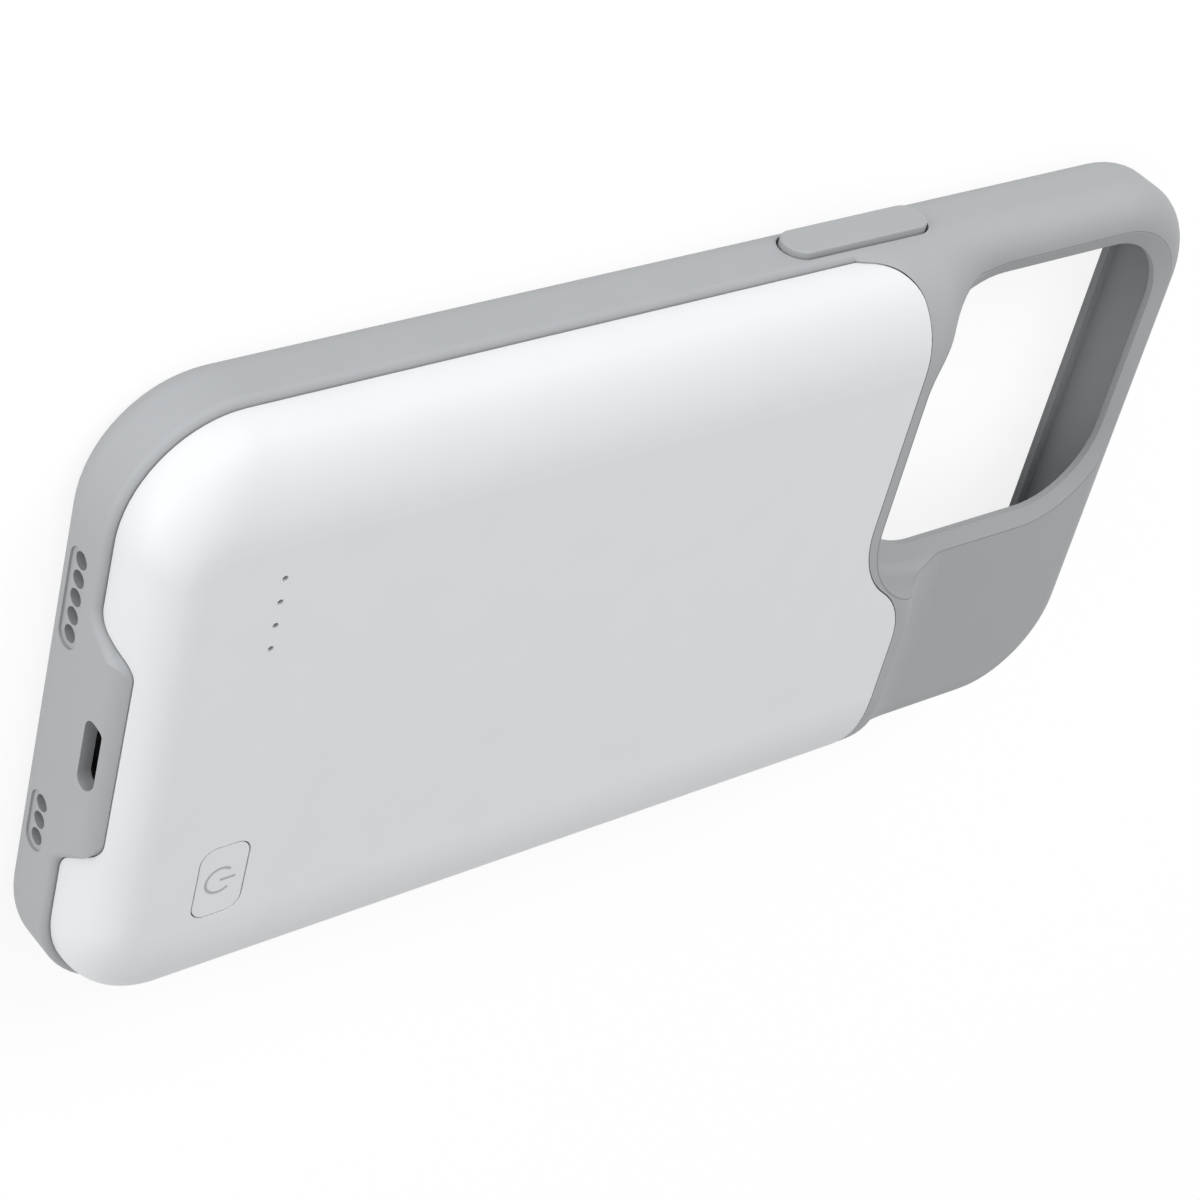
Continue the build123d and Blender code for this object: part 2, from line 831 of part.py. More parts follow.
def charge_socket_shell():
    stop = socket_front + socket_length
    tube = end_slot(socket_width, socket_height, 0, socket_z, socket_front, stop)
    bore_width = socket_width - 2 * socket_wall
    bore_height = socket_height - 2 * socket_wall
    return tube - end_slot(bore_width, bore_height, 0, socket_z, socket_front - 1, stop - socket_wall)


def charge_socket_tongue():
    back = socket_front + socket_length - socket_wall
    base = end_slot(
        socket_width - 2 * socket_wall, socket_height - 2 * socket_wall, 0, socket_z, back - socket_back, back
    )
    front = back - socket_back - socket_tongue_reach
    size = (socket_tongue_width, back - front, socket_tongue_thickness)
    return base + block(size, (0, (front + back) / 2, socket_z))


def phone_plug_shell():
    stop = pocket_bottom_y + plug_length
    tube = end_slot(plug_width, plug_height, 0, plug_z, pocket_bottom_y, stop)
    return tube - end_slot(
        plug_width - 2 * plug_wall, plug_height - 2 * plug_wall, 0, plug_z, pocket_bottom_y - 1, stop + 1
    )


def phone_plug_core():
    stop = pocket_bottom_y + plug_length - plug_wall
    core = end_slot(plug_width - 2 * plug_wall, plug_height - 2 * plug_wall, 0, plug_z, pocket_bottom_y, stop)
    return core - end_slot(plug_slot_width, plug_slot_height, 0, plug_z, stop - plug_slot_depth, stop + 1)


def battery_cell():
    length = cell_end - cell_start
    middle = (0, (cell_start + cell_end) / 2, cell_base + cell_thickness / 2)
    body = block((cell_width, length, cell_thickness), middle)
    body = fillet(body.edges().filter_by(Axis.Y), cell_edge_radius)
    terrace = block(
        (cell_width - 6 * cell_edge_radius, terrace_length, terrace_thickness),
        (0, cell_start - terrace_length / 2, cell_base + cell_thickness / 2),
    )
    return body + terrace


def guard_base():
    return cell_base + cell_thickness / 2 + terrace_thickness / 2


def protection_board():
    return block(
        (guard_length, guard_width, guard_thickness),
        (0, cell_start - terrace_length / 2, guard_base() + guard_thickness / 2),
    )


def cell_tabs():
    """Two strips from the end of the cell's terrace up and over the protection board."""
    end = cell_start - terrace_length
    top = guard_base() + guard_thickness
    reach = terrace_length / 2
    strips = []
    for x in (-tab_strip_spacing / 2, tab_strip_spacing / 2):
        low = guard_base() - terrace_thickness / 2
        rise = top + tab_strip_thickness - low
        upright_part = block(
            (tab_strip_width, tab_strip_thickness, rise), (x, end - tab_strip_thickness / 2, low + rise / 2)
        )
        over = block(
            (tab_strip_width, reach + tab_strip_thickness, tab_strip_thickness),
            (x, end - tab_strip_thickness + (reach + tab_strip_thickness) / 2, top + tab_strip_thickness / 2),
        )
        strips.append(upright_part + over)
    return Compound(strips)


def lead_wires():
    """Two wires that lie on the main board, climb and lie on the protection board."""
    radius = wire_diameter / 2
    board_end = board_y + board_length / 2
    low = board_top + radius
    high = guard_base() + guard_thickness + radius
    wires = []
    for x in (-wire_spacing / 2, wire_spacing / 2):
        path = FilletPolyline(
            (x, board_end - 3.0, low),
            (x, board_end - 0.6, low),
            (x, cell_start - terrace_length - 0.4, high),
            (x, cell_start - terrace_length / 2, high),
            radius=1.0,
        )
        wires.append(sweep(Plane(path @ 0, z_dir=path % 0) * Circle(radius), path=path))
    return Compound(wires)


def cell_pad():
    thick = ceiling - pad_gap - cell_top
    width = cell_width - 2 * pad_side_margin
    length = cell_end - cell_start - 2 * pad_end_margin
    return block((width, length, thick), (0, (cell_start + cell_end) / 2, cell_top + thick / 2))


charger_place, controller_place, inductor_place = chip_places()

parts = {
    "bumper_frame": bumper_frame(),
    "battery_cover": battery_cover(),
    "power_button": power_button(),
    "switch_plunger": switch_plunger(),
    "tact_switch": tact_switch(),
    "side_key": mirror(key(side_key_length, side_key_y), about=Plane.YZ),
    "volume_up_key": key(volume_key_length, volume_up_y),
    "volume_down_key": key(volume_key_length, volume_down_y),
    "light_pipe": light_pipe(),
    "indicator_leds": indicator_leds(),
    "charge_socket_shell": charge_socket_shell(),
    "charge_socket_tongue": charge_socket_tongue(),
    "inner_plate": inner_plate(),
    "main_board": main_board(),
    "charger_chip": on_board(charger_size, charger_place),
    "controller_chip": on_board(controller_size, controller_place),
    "power_inductor": on_board(inductor_size, inductor_place),
    "capacitors": capacitors(),
    "phone_plug_shell": phone_plug_shell(),
    "phone_plug_core": phone_plug_core(),
    "plug_block": plug_block_box(0),
    "plug_flex": flex_boxes(0),
    "battery_cell": battery_cell(),
    "cell_tabs": cell_tabs(),
    "protection_board": protection_board(),
    "lead_wires": lead_wires(),
    "cell_pad": cell_pad(),
}

os.makedirs("parts", exist_ok=True)
for name, shape in parts.items():
    export_step(shape, f"parts/{name}.step")
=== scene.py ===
import bpy
import numpy as np
from bpy.props import FloatProperty, FloatVectorProperty, IntProperty, PointerProperty
from mathutils import Matrix, Vector


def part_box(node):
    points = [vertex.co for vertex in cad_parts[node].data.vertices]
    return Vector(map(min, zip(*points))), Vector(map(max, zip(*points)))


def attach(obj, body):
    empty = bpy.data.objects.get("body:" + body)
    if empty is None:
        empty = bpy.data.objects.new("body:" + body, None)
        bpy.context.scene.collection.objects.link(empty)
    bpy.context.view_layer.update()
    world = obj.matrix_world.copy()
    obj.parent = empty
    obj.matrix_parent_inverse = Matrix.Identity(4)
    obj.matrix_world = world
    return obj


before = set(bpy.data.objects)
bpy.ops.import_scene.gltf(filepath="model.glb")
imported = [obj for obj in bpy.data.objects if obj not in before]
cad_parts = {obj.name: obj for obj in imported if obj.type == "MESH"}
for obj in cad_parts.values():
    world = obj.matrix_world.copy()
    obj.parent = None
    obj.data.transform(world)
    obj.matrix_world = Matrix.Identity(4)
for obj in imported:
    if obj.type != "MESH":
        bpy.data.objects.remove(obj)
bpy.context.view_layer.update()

bl_info = {
    "name": "Phone charging case",
    "version": (1, 0, 0),
    "blender": (4, 5, 0),
    "location": "3D View > Sidebar > Charging case",
    "description": "Finishes, printed symbol, contacts and stage of a phone charging case",
    "category": "Object",
}

MM = 0.001
BODY = "case"

DRAWN_STREAK = (0.2 * MM, 6.0 * MM, 0.2 * MM)
CONTACT_STREAK = (0.05 * MM, 1.0 * MM, 0.05 * MM)

FLOOR_HALF = 1.6
FLOOR_POINTS = 9
FLOOR_DROP = 0.05 * MM
FLOOR_COLOUR = (0.8, 0.8, 0.8, 1.0)
LAMPS = (
    ("high_lamp", (-0.95, 0.25, 0.62), (1.0, 0.5)),
    ("left_lamp", (-1.12, -0.20, 0.12), (1.1, 0.22)),
    ("end_lamp", (-0.30, -1.12, 0.12), (1.1, 0.22)),
)
CAMERA_PLACE = (-0.23004, -0.23676, 0.22477)
CAMERA_AHEAD = (0.59359, 0.58650, -0.55106)
CAMERA_UP = (-0.77502, 0.23214, -0.58776)
SENSOR_WIDTH = 36.0


class Wire:
    """A shader socket that takes part in sums: each operator adds the Math node that works it out."""

    def __init__(self, tree, socket):
        self.tree = tree
        self.socket = socket

    def __add__(self, other):
        return self.tree.math("ADD", self, other)

    def __sub__(self, other):
        return self.tree.math("SUBTRACT", self, other)

    def __rsub__(self, other):
        return self.tree.math("SUBTRACT", other, self)

    def __mul__(self, other):
        return self.tree.math("MULTIPLY", self, other)

    def __truediv__(self, other):
        return self.tree.math("DIVIDE", self, other)

    def __rtruediv__(self, other):
        return self.tree.math("DIVIDE", other, self)

    def __lt__(self, other):
        return self.tree.math("LESS_THAN", self, other)

    def __gt__(self, other):
        return self.tree.math("GREATER_THAN", self, other)

    def __abs__(self):
        return self.tree.math("ABSOLUTE", self)

    __radd__ = __add__
    __rmul__ = __mul__


class NodeTree:
    """A node tree with one way to add a node: its type, its settings, then the values or links of its sockets."""

    def __init__(self, tree):
        self.nodes = tree.nodes
        self.links = tree.links

    def node(self, kind, settings=None, inputs=None, output=0):
        made = self.nodes.new(kind)
        for name, value in (settings or {}).items():
            setattr(made, name, value)
        for name, value in (inputs or {}).items():
            self.feed(made.inputs[name], value)
        return Wire(self, made.outputs[output])

    def feed(self, socket, value):
        if isinstance(value, Wire):
            self.links.new(value.socket, socket)
        else:
            socket.default_value = value

    def math(self, operation, *terms):
        return self.node("ShaderNodeMath", {"operation": operation}, dict(enumerate(terms)))

    def largest(self, first, *others):
        for other in others:
            first = self.math("MAXIMUM", first, other)
        return first


class Finish(NodeTree):
    """A material on the case's own coordinates, with a Principled surface."""

    def __init__(self, name, constants=None):
        self.material = bpy.data.materials.new(name)
        self.material.use_nodes = True
        super().__init__(self.material.node_tree)
        self.surface = self.nodes["Principled BSDF"]
        self.place = self.node("ShaderNodeTexCoord", output="Object")
        for socket, value in (constants or {}).items():
            self.surface.inputs[socket].default_value = value

    def along(self, axis):
        """Distance along one axis of the case, in metres."""
        return self.node("ShaderNodeSeparateXYZ", inputs={0: self.place}, output=axis)

    def stretched(self, sizes):
        """Coordinates counted in steps of their own along X, Y and Z."""
        return self.node("ShaderNodeMapping", inputs={"Vector": self.place, "Scale": [1 / size for size in sizes]})

    def noise(self, size, detail=2.0):
        """Clouds of about one size, from 0 to 1."""
        sizes = size if isinstance(size, tuple) else (size, size, size)
        return self.node("ShaderNodeTexNoise", inputs={"Vector": self.stretched(sizes), "Scale": 1.0, "Detail": detail})

    def cells(self, size, settings=None):
        """Distance to the nearest of scattered points that lie about one size apart."""
        inputs = {"Vector": self.place, "Scale": 1 / size}
        return self.node("ShaderNodeTexVoronoi", settings or {}, inputs, "Distance")

    def from_nearest(self, axis, first, pitch):
        """Distance to the nearest of the places first, first + pitch, first + 2 pitch and so on."""
        turns = (self.along(axis) - first) / pitch + 0.5
        return abs(self.math("FRACT", turns) - 0.5) * pitch

    def from_point(self, x, y):
        """Distance in plan from one upright line."""
        across = self.along("X") - x
        ahead = self.along("Y") - y
        return self.math("SQRT", across * across + ahead * ahead)

    def from_rounded(self, middle, size, radius):
        """Distance in plan from the edge of a rounded rectangle, below 0 inside it."""
        across = abs(self.along("X") - middle[0]) - (size[0] / 2 - radius)
        ahead = abs(self.along("Y") - middle[1]) - (size[1] / 2 - radius)
        beside, beyond = self.largest(across, 0.0), self.largest(ahead, 0.0)
        corner = self.math("SQRT", beside * beside + beyond * beyond)
        return corner + self.math("MINIMUM", self.largest(across, ahead), 0.0) - radius

    def tone(self, share, low, high):
        """A colour between two, by a share from 0 to 1."""
        inputs = {0: share, 6: low, 7: high}
        return self.node("ShaderNodeMix", {"data_type": "RGBA"}, inputs, 2)

    def colour(self, wire):
        self.feed(self.surface.inputs["Base Color"], wire)

    def roughness(self, wire):
        self.feed(self.surface.inputs["Roughness"], wire)

    def metal(self, wire):
        self.feed(self.surface.inputs["Metallic"], wire)

    def relief(self, height, depth):
        """Small height differences of a depth in metres, seen as bumps."""
        inputs = {"Height": height, "Distance": depth, "Strength": 1.0}
        self.feed(self.surface.inputs["Normal"], self.node("ShaderNodeBump", inputs=inputs))


def shade(colour, factor=1.0):
    """A colour property as four numbers, made lighter or darker by a factor."""
    return (*[min(part * factor, 1.0) for part in colour], 1.0)


def dress(nodes, finish):
    """Gives CAD nodes one finish."""
    for name in nodes:
        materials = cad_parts[name].data.materials
        materials.clear()
        materials.append(finish.material)


def moulding(name, colour, rough, grain, relief, crease=None):
    """Moulded plastic: a fine spark grain in height and gloss over a faint cloudy tone, sunk in a crease whose colour
    is darkened as painted shade.
    """
    finish = Finish(name, {"IOR": 1.48})
    fine = finish.noise(grain, 2.0)
    cloud = finish.noise(60 * grain, 3.0)
    tint = finish.tone(cloud, shade(colour, 0.98), shade(colour, 1.02))
    height = fine
    if crease:
        line = crease(finish)
        # painted shade: the crease line's colour is darkened to 0.62 of the moulding, standing in for the shadow in the
        # sunk groove
        tint = finish.tone(line, tint, shade(colour, 0.62))
        height = fine - 2.0 * line
    finish.colour(tint)
    finish.roughness(rough - 0.05 + 0.1 * fine)
    finish.relief(height, relief)
    return finish


def camera_groove_and_shade(finish, details):
    """Hairline round the camera opening: 1 on the line, 0 off it. The line sinks a fine groove and is painted darker as
    the groove's shade. The opening widens with height, along its bevel and then up its steep wall, so its reach at a
    height is the lesser of both. The line is where the distance from the opening's rounded rectangle passes that reach
    by less than a line's width."""
    rise = finish.along("Z") - details.bevel_foot
    bevel = rise * (details.bevel_run / details.bevel_rise)
    wall = (rise - details.bevel_rise) * details.wall_lean + details.bevel_run
    edge = finish.from_rounded(details.camera_middle, details.camera_size, details.camera_corner)
    past = edge - finish.math("MINIMUM", bevel, wall)
    return (past > 0.4 * details.crease_line) * (past < 1.4 * details.crease_line) * (edge > 2 * details.crease_line)


def drawn_metal(name, colour, rough, sizes):
    """Drawn metal: fine streaks along one axis in tone, gloss and height."""
    finish = Finish(name, {"Metallic": 1.0})
    streak = finish.noise(sizes, 3.0)
    finish.colour(finish.tone(streak, shade(colour, 0.85), shade(colour, 1.12)))
    finish.roughness(rough - 0.08 + 0.16 * streak)
    finish.relief(streak, 0.000002)
    return finish


def solder_mask(name, colour, copper, pitch):
    """Board lacquer: square tracks show paler under the lacquer, with a tinned pad in some of the squares."""
    finish = Finish(name, {"IOR": 1.5})
    grid = {"distance": "CHEBYCHEV"}
    track = finish.cells(pitch, grid) < 0.34
    pad = finish.cells(1.7 * pitch, grid) < 0.12
    lacquer = finish.tone(track, shade(colour, 0.7), shade(colour, 1.5))
    finish.colour(finish.tone(pad, lacquer, shade(copper)))
    finish.metal(pad * 0.9)
    finish.roughness(0.42 - 0.12 * pad + 0.1 * finish.noise(pitch))
    finish.relief(track + pad, 0.00002)
    return finish


def chip_epoxy(name, colour, node):
    """Moulded chip: dull grain with a round corner mark, on black resin."""
    low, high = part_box(node)
    inset = 0.22 * (high.x - low.x)
    finish = Finish(name, {"IOR": 1.5})
    fine = finish.noise(0.00006, 2.0)
    mark = finish.from_point(low.x + inset, high.y - inset) < 0.3 * inset
    finish.colour(finish.tone(mark, finish.tone(fine, shade(colour, 0.8), shade(colour, 1.3)), shade(colour, 3.0)))
    finish.roughness(0.62 + 0.15 * fine - 0.25 * mark)
    finish.relief(fine - mark, 0.000006)
    return finish


def merge(shapes):
    """Several point and face arrays as one pair."""
    counts = np.cumsum([0] + [len(points) for points, _ in shapes])
    points = np.concatenate([points for points, _ in shapes])
    faces = np.concatenate([faces + start for (_, faces), start in zip(shapes, counts)])
    return points, faces


CUBE = np.array([(x, y, z) for z in (-1, 1) for y in (-1, 1) for x in (-1, 1)])
CUBE_FACES = np.array(((0, 2, 3, 1), (4, 5, 7, 6), (0, 1, 5, 4), (2, 6, 7, 3), (0, 4, 6, 2), (1, 3, 7, 5)))


def strips(centres, size):
    """Flat strips: each is its centre plus half its size times the eight sign corners of a cube."""
    points = centres[:, None, :] + CUBE * np.array(size) / 2
    faces = CUBE_FACES + 8 * np.arange(len(centres))[:, None, None]
    return points.reshape(-1, 3), faces.reshape(-1, 4)


def stroke(path, width, low, high):
    """A stroke of ink along a plan path. At each point the profile is a rectangle from low to high across the path.
    Its half width is h * sqrt(1 - (1 - d / h)^2) at a distance d from either end, while d is less than h, so that
    the ends are round."""
    half = width / 2
    step = np.gradient(path, axis=0)
    ahead = step / np.linalg.norm(step, axis=1)[:, None]
    across = np.stack((-ahead[:, 1], ahead[:, 0]), axis=1)
    run = np.concatenate(([0.0], np.cumsum(np.linalg.norm(np.diff(path, axis=0), axis=1))))
    inside = np.clip(np.minimum(run, run[-1] - run) / half, 0.02, 1.0)
    reach = (half * np.sqrt(1 - (1 - inside) ** 2))[:, None] * across
    level = np.full((len(path), 1), low)
    top = np.full((len(path), 1), high)
    left, right = path + reach, path - reach
    rings = [np.hstack(pair) for pair in ((left, top), (left, level), (right, level), (right, top))]
    points = np.stack(rings, axis=1).reshape(-1, 3)
    row, side = np.meshgrid(np.arange(len(path) - 1), np.arange(4), indexing="ij")
    after = (side + 1) % 4
    walls = np.stack((4 * row + side, 4 * row + 4 + side, 4 * row + 4 + after, 4 * row + after), axis=-1)
    last = 4 * len(path) - 4
    ends = np.array(((0, 1, 2, 3), (last + 3, last + 2, last + 1, last)))
    return points, np.concatenate((walls.reshape(-1, 4), ends))


def eased(count):
    """Shares from 0 to 1 that crowd towards both ends, as 0.5 - 0.5 cos(turn)."""
    return 0.5 - 0.5 * np.cos(np.linspace(0, np.pi, count))


def add_piece(name, shape, finish, body):
    """A mesh of its own that rides on a body of the case."""
    points, faces = shape
    mesh = bpy.data.meshes.new(name)
    mesh.from_pydata(points.tolist(), [], faces.tolist())
    if mesh.validate():
        raise RuntimeError(f"{name} has faces that do not hold together")
    mesh.materials.append(finish.material)
    piece = bpy.data.objects.new(name, mesh)
    bpy.context.scene.collection.objects.link(piece)
    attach(piece, body)
    return piece


def soften(piece, width):
    """Rounds the edges of a small metal strip."""
    bevel = piece.modifiers.new("soft_edges", "BEVEL")
    bevel.width = width
    bevel.segments = 2


def colour_property(name, description, default):
    return FloatVectorProperty(
        name=name, description=description, default=default, subtype="COLOR", size=3, min=0.0, max=1.0
    )


def length_property(name, description, default):
    return FloatProperty(name=name, description=description, default=default * MM, unit="LENGTH", precision=5, min=0.0)


class CaseColours(bpy.types.PropertyGroup):
    """Colours of the finishes."""

    white: colour_property("White shell", "Satin plastic of the cover and the button", (0.763, 0.780, 0.796))
    grey: colour_property("Soft grey", "Matte moulding of the frame and the side keys", (0.389, 0.402, 0.413))
    ink: colour_property("Symbol ink", "Print of the power symbol", (0.43, 0.44, 0.45))
    smoke: colour_property("Light pipe", "Smoky clear plastic under the four light holes", (0.16, 0.165, 0.17))
    black: colour_property("Black plastic", "Insulators, tongue and plungers", (0.034, 0.034, 0.035))
    port: colour_property("Port shell", "Dark plated shell of the charging port", (0.16, 0.16, 0.165))
    steel: colour_property("Plain steel", "Plug shell and switch plate", (0.56, 0.56, 0.57))
    nickel: colour_property("Nickel", "Tabs of the cell", (0.62, 0.60, 0.56))
    gold: colour_property("Contact gold", "Plating of the contacts", (0.83, 0.62, 0.28))
    plate: colour_property("Inner plate", "Fine matte plastic between pocket and cell", (0.36, 0.37, 0.38))
    lacquer: colour_property("Board lacquer", "Solder mask of both boards", (0.015, 0.10, 0.045))
    resin: colour_property("Chip resin", "Moulding of the chips", (0.022, 0.022, 0.023))
    ferrite: colour_property("Ferrite", "Body of the inductor", (0.085, 0.085, 0.09))
    ceramic: colour_property("Ceramic", "Body of the capacitors", (0.42, 0.30, 0.18))
    film: colour_property("Amber film", "Film of the flat circuit", (0.42, 0.17, 0.03))
    foil: colour_property("Cell foil", "Pouch of the battery cell", (0.62, 0.63, 0.65))
    red: colour_property("Red sleeve", "Sleeve of the positive wire", (0.42, 0.025, 0.02))
    foam: colour_property("Foam", "Pad between cell and cover", (0.09, 0.09, 0.095))
    phosphor: colour_property("Phosphor", "Window of the light chips", (0.80, 0.66, 0.12))


class CaseDetails(bpy.types.PropertyGroup):
    """Sizes of the detail that is added to the solids."""

    grain: length_property("Grain", "Width of the moulded spark grain", 0.16)
    grain_depth: length_property("Grain depth", "Height of the moulded spark grain", 0.004)
    camera_middle: FloatVectorProperty(
        name="Camera opening", description="Middle of the opening in plan", default=(-0.01235, 0.0522), size=2
    )
    camera_size: FloatVectorProperty(
        name="Opening size", description="Width and length of the opening", default=(0.0397, 0.0396), size=2
    )
    camera_corner: length_property("Opening corner", "Radius of the opening's corners", 10.5)
    bevel_foot: length_property("Bevel foot", "Height at which the opening's bevel starts", 9.85)
    bevel_run: length_property("Bevel run", "Width of the opening's bevel in plan", 3.1)
    bevel_rise: length_property("Bevel rise", "Height of the opening's bevel", 1.4)
    wall_lean: FloatProperty(name="Wall lean", description="How far the wall over the bevel spreads", default=0.119)
    crease_line: length_property("Crease line", "Width of the hairline round the opening", 0.14)
    symbol_radius: length_property("Symbol radius", "Middle of the ring's line", 1.73)
    symbol_line: length_property("Symbol line", "Width of the symbol's lines", 0.34)
    symbol_bar: length_property("Symbol bar", "Length of the bar from the ring's middle", 2.05)
    symbol_ink: length_property("Ink thickness", "Height of the print on the button", 0.015)
    symbol_gap: FloatProperty(
        name="Symbol gap", description="Half the opening of the ring", default=np.radians(45), subtype="ANGLE"
    )
    contact_count: IntProperty(name="Contacts", description="Contacts in one row of port or plug", default=12, min=1)
    contact_pitch: length_property("Contact pitch", "From one contact to the next", 0.5)
    contact_width: length_property("Contact width", "Width of one contact", 0.26)
    contact_thickness: length_property("Contact height", "How far a contact stands out", 0.04)
    tongue_thickness: length_property("Tongue thickness", "Thickness of the port's tongue", 0.7)
    plug_slot: length_property("Plug slot", "Height of the slot in the plug", 0.8)
    port_contact_start: length_property("Port contact start", "From the tongue's front to its contacts", 0.4)
    port_contact_end: length_property("Port contact end", "From the tongue's front to the contacts' far end", 3.8)
    plug_contact_start: length_property("Plug contact start", "From the plug's tip to the contacts' far end", 4.2)
    plug_contact_end: length_property("Plug contact end", "From the plug's tip to its contacts", 0.5)
    main_track: length_property("Board tracks", "Spacing of the tracks on the main board", 2.2)
    guard_track: length_property("Guard tracks", "Spacing of the tracks on the protection board", 1.2)
    flex_pitch: length_property("Flat circuit pitch", "From one track of the flat circuit to the next", 0.6)
    flex_track: length_property("Flat circuit track", "Half the width of one track", 0.16)
    capacitor_width: length_property("Capacitor width", "Length of one capacitor", 1.6)
    capacitor_count: IntProperty(name="Capacitors", description="Capacitors in the row", default=6, min=2)
    light_width: length_property("Light chip width", "Length of one light chip", 1.6)
    light_count: IntProperty(name="Light chips", description="Light chips in the row", default=4, min=2)
    light_window: length_property("Light window", "Radius of a light chip's window", 0.32)
    foam_pore: length_property("Foam pore", "Distance between pores of the foam pad", 0.45)


class CaseStage(bpy.types.PropertyGroup):
    """Levels of the studio light."""

    sky: FloatProperty(name="Sky", description="Even light from all round", default=0.57, min=0.0)
    high_lamp: FloatProperty(name="High lamp", description="Wide lamp over the key side", default=5.5, min=0.0)
    left_lamp: FloatProperty(name="Left lamp", description="Low lamp beside the key side", default=1.5, min=0.0)
    end_lamp: FloatProperty(name="End lamp", description="Low lamp beyond the port end", default=6.0, min=0.0)
    floor_glow: FloatProperty(name="Floor glow", description="White that the floor shows in shadow", default=0.83)
    floor_tone: FloatProperty(name="Floor tone", description="Share of light on the floor that shows", default=0.22)
    lens: FloatProperty(name="Lens", description="Focal length on a 36 mm frame, in millimetres", default=103.66)


def contact_rows(details, middle_z, rise, start, stop):
    """Two facing rows of strips across X, at a rise above and below the middle level, from start to stop along Y."""
    offsets = (np.arange(details.contact_count) - (details.contact_count - 1) / 2) * details.contact_pitch
    side = np.repeat((-1.0, 1.0), len(offsets))
    centres = np.stack(
        (np.tile(offsets, 2), np.full(side.shape, (start + stop) / 2), middle_z + side * rise), axis=1
    )
    return strips(centres, (details.contact_width, stop - start, details.contact_thickness))


class CASE_OT_soft_frame(bpy.types.Operator):
    """Matte soft moulding on the frame and its side keys"""

    bl_idname = "charging_case.soft_frame"
    bl_label = "Soft frame and keys"

    def execute(self, context):
        colours, details = context.scene.case_colours, context.scene.case_details
        look = (colours.grey, 0.62, details.grain, details.grain_depth)
        # the frame gets a hairline groove round the camera opening, with painted shade darkening the groove's colour
        creased_and_shaded = moulding("soft_grey_frame", *look, crease=lambda finish: camera_groove_and_shade(finish, details))
        dress(("bumper_frame",), creased_and_shaded)
        dress(("side_key", "volume_up_key", "volume_down_key"), moulding("soft_grey_keys", *look))
        plate = moulding("inner_plate_plastic", colours.plate, 0.6, 1.4 * details.grain, details.grain_depth)
        dress(("inner_plate",), plate)
        return {"FINISHED"}


class CASE_OT_white_cover(bpy.types.Operator):
    """Satin plastic on the cover and the button, smoky plastic in the light holes"""

    bl_idname = "charging_case.white_cover"
    bl_label = "White cover, button and lights"

    def execute(self, context):
        colours, details = context.scene.case_colours, context.scene.case_details
        shell = moulding("white_shell_satin", colours.white, 0.5, 0.8 * details.grain, 0.5 * details.grain_depth)
        dress(("battery_cover",), shell)
        button = moulding("white_button_satin", colours.white, 0.46, 0.7 * details.grain, 0.4 * details.grain_depth)
        dress(("power_button",), button)
        smoke = Finish("smoky_light_pipe", {"IOR": 1.49, "Transmission Weight": 0.3})
        haze = smoke.noise(0.0008, 3.0)
        smoke.colour(smoke.tone(haze, shade(colours.smoke, 0.8), shade(colours.smoke, 1.2)))
        smoke.roughness(0.2 + 0.15 * haze)
        dress(("light_pipe",), smoke)
        return {"FINISHED"}


class CASE_OT_power_symbol(bpy.types.Operator):
    """Printed power symbol on the button: an open ring and a bar that points at the camera end"""

    bl_idname = "charging_case.power_symbol"
    bl_label = "Power symbol"

    def execute(self, context):
        colours, details = context.scene.case_colours, context.scene.case_details
        low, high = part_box("power_button")
        radius, line, bar = details.symbol_radius, details.symbol_line, details.symbol_bar
        middle = np.array(((low.x + high.x) / 2, (low.y + high.y) / 2 + (radius - bar) / 2))
        turn = details.symbol_gap + eased(120) * (2 * np.pi - 2 * details.symbol_gap)
        ring = middle + radius * np.stack((np.sin(turn), np.cos(turn)), axis=1)
        bar_line = middle + np.stack((np.zeros(40), eased(40) * bar), axis=1)
        level = high.z - details.symbol_ink
        top = high.z + details.symbol_ink
        shape = merge([stroke(path, line, level, top) for path in (ring, bar_line)])
        ink = Finish("symbol_ink", {"IOR": 1.45})
        speck = ink.noise(0.00008, 2.0)
        ink.colour(ink.tone(speck, shade(colours.ink, 0.92), shade(colours.ink, 1.08)))
        ink.roughness(0.5 + 0.1 * speck)
        add_piece("power_symbol", shape, ink, "power_button")
        return {"FINISHED"}


class CASE_OT_charging_port(bpy.types.Operator):
    """Dark plated port shell, its black tongue and two rows of contacts"""

    bl_idname = "charging_case.charging_port"
    bl_label = "Charging port"

    def execute(self, context):
        colours, details = context.scene.case_colours, context.scene.case_details
        dress(("charge_socket_shell",), drawn_metal("port_shell_plating", colours.port, 0.34, DRAWN_STREAK))
        insulator = moulding("port_insulator", colours.black, 0.55, 0.5 * details.grain, 0.5 * details.grain_depth)
        dress(("charge_socket_tongue",), insulator)
        low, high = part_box("charge_socket_tongue")
        rise = details.tongue_thickness / 2
        start, stop = low.y + details.port_contact_start, low.y + details.port_contact_end
        rows = contact_rows(details, (low.z + high.z) / 2, rise, start, stop)
        gold = drawn_metal("contact_gold", colours.gold, 0.28, CONTACT_STREAK)
        contacts = add_piece("port_contacts", rows, gold, BODY)
        soften(contacts, 0.012 * MM)
        return {"FINISHED"}


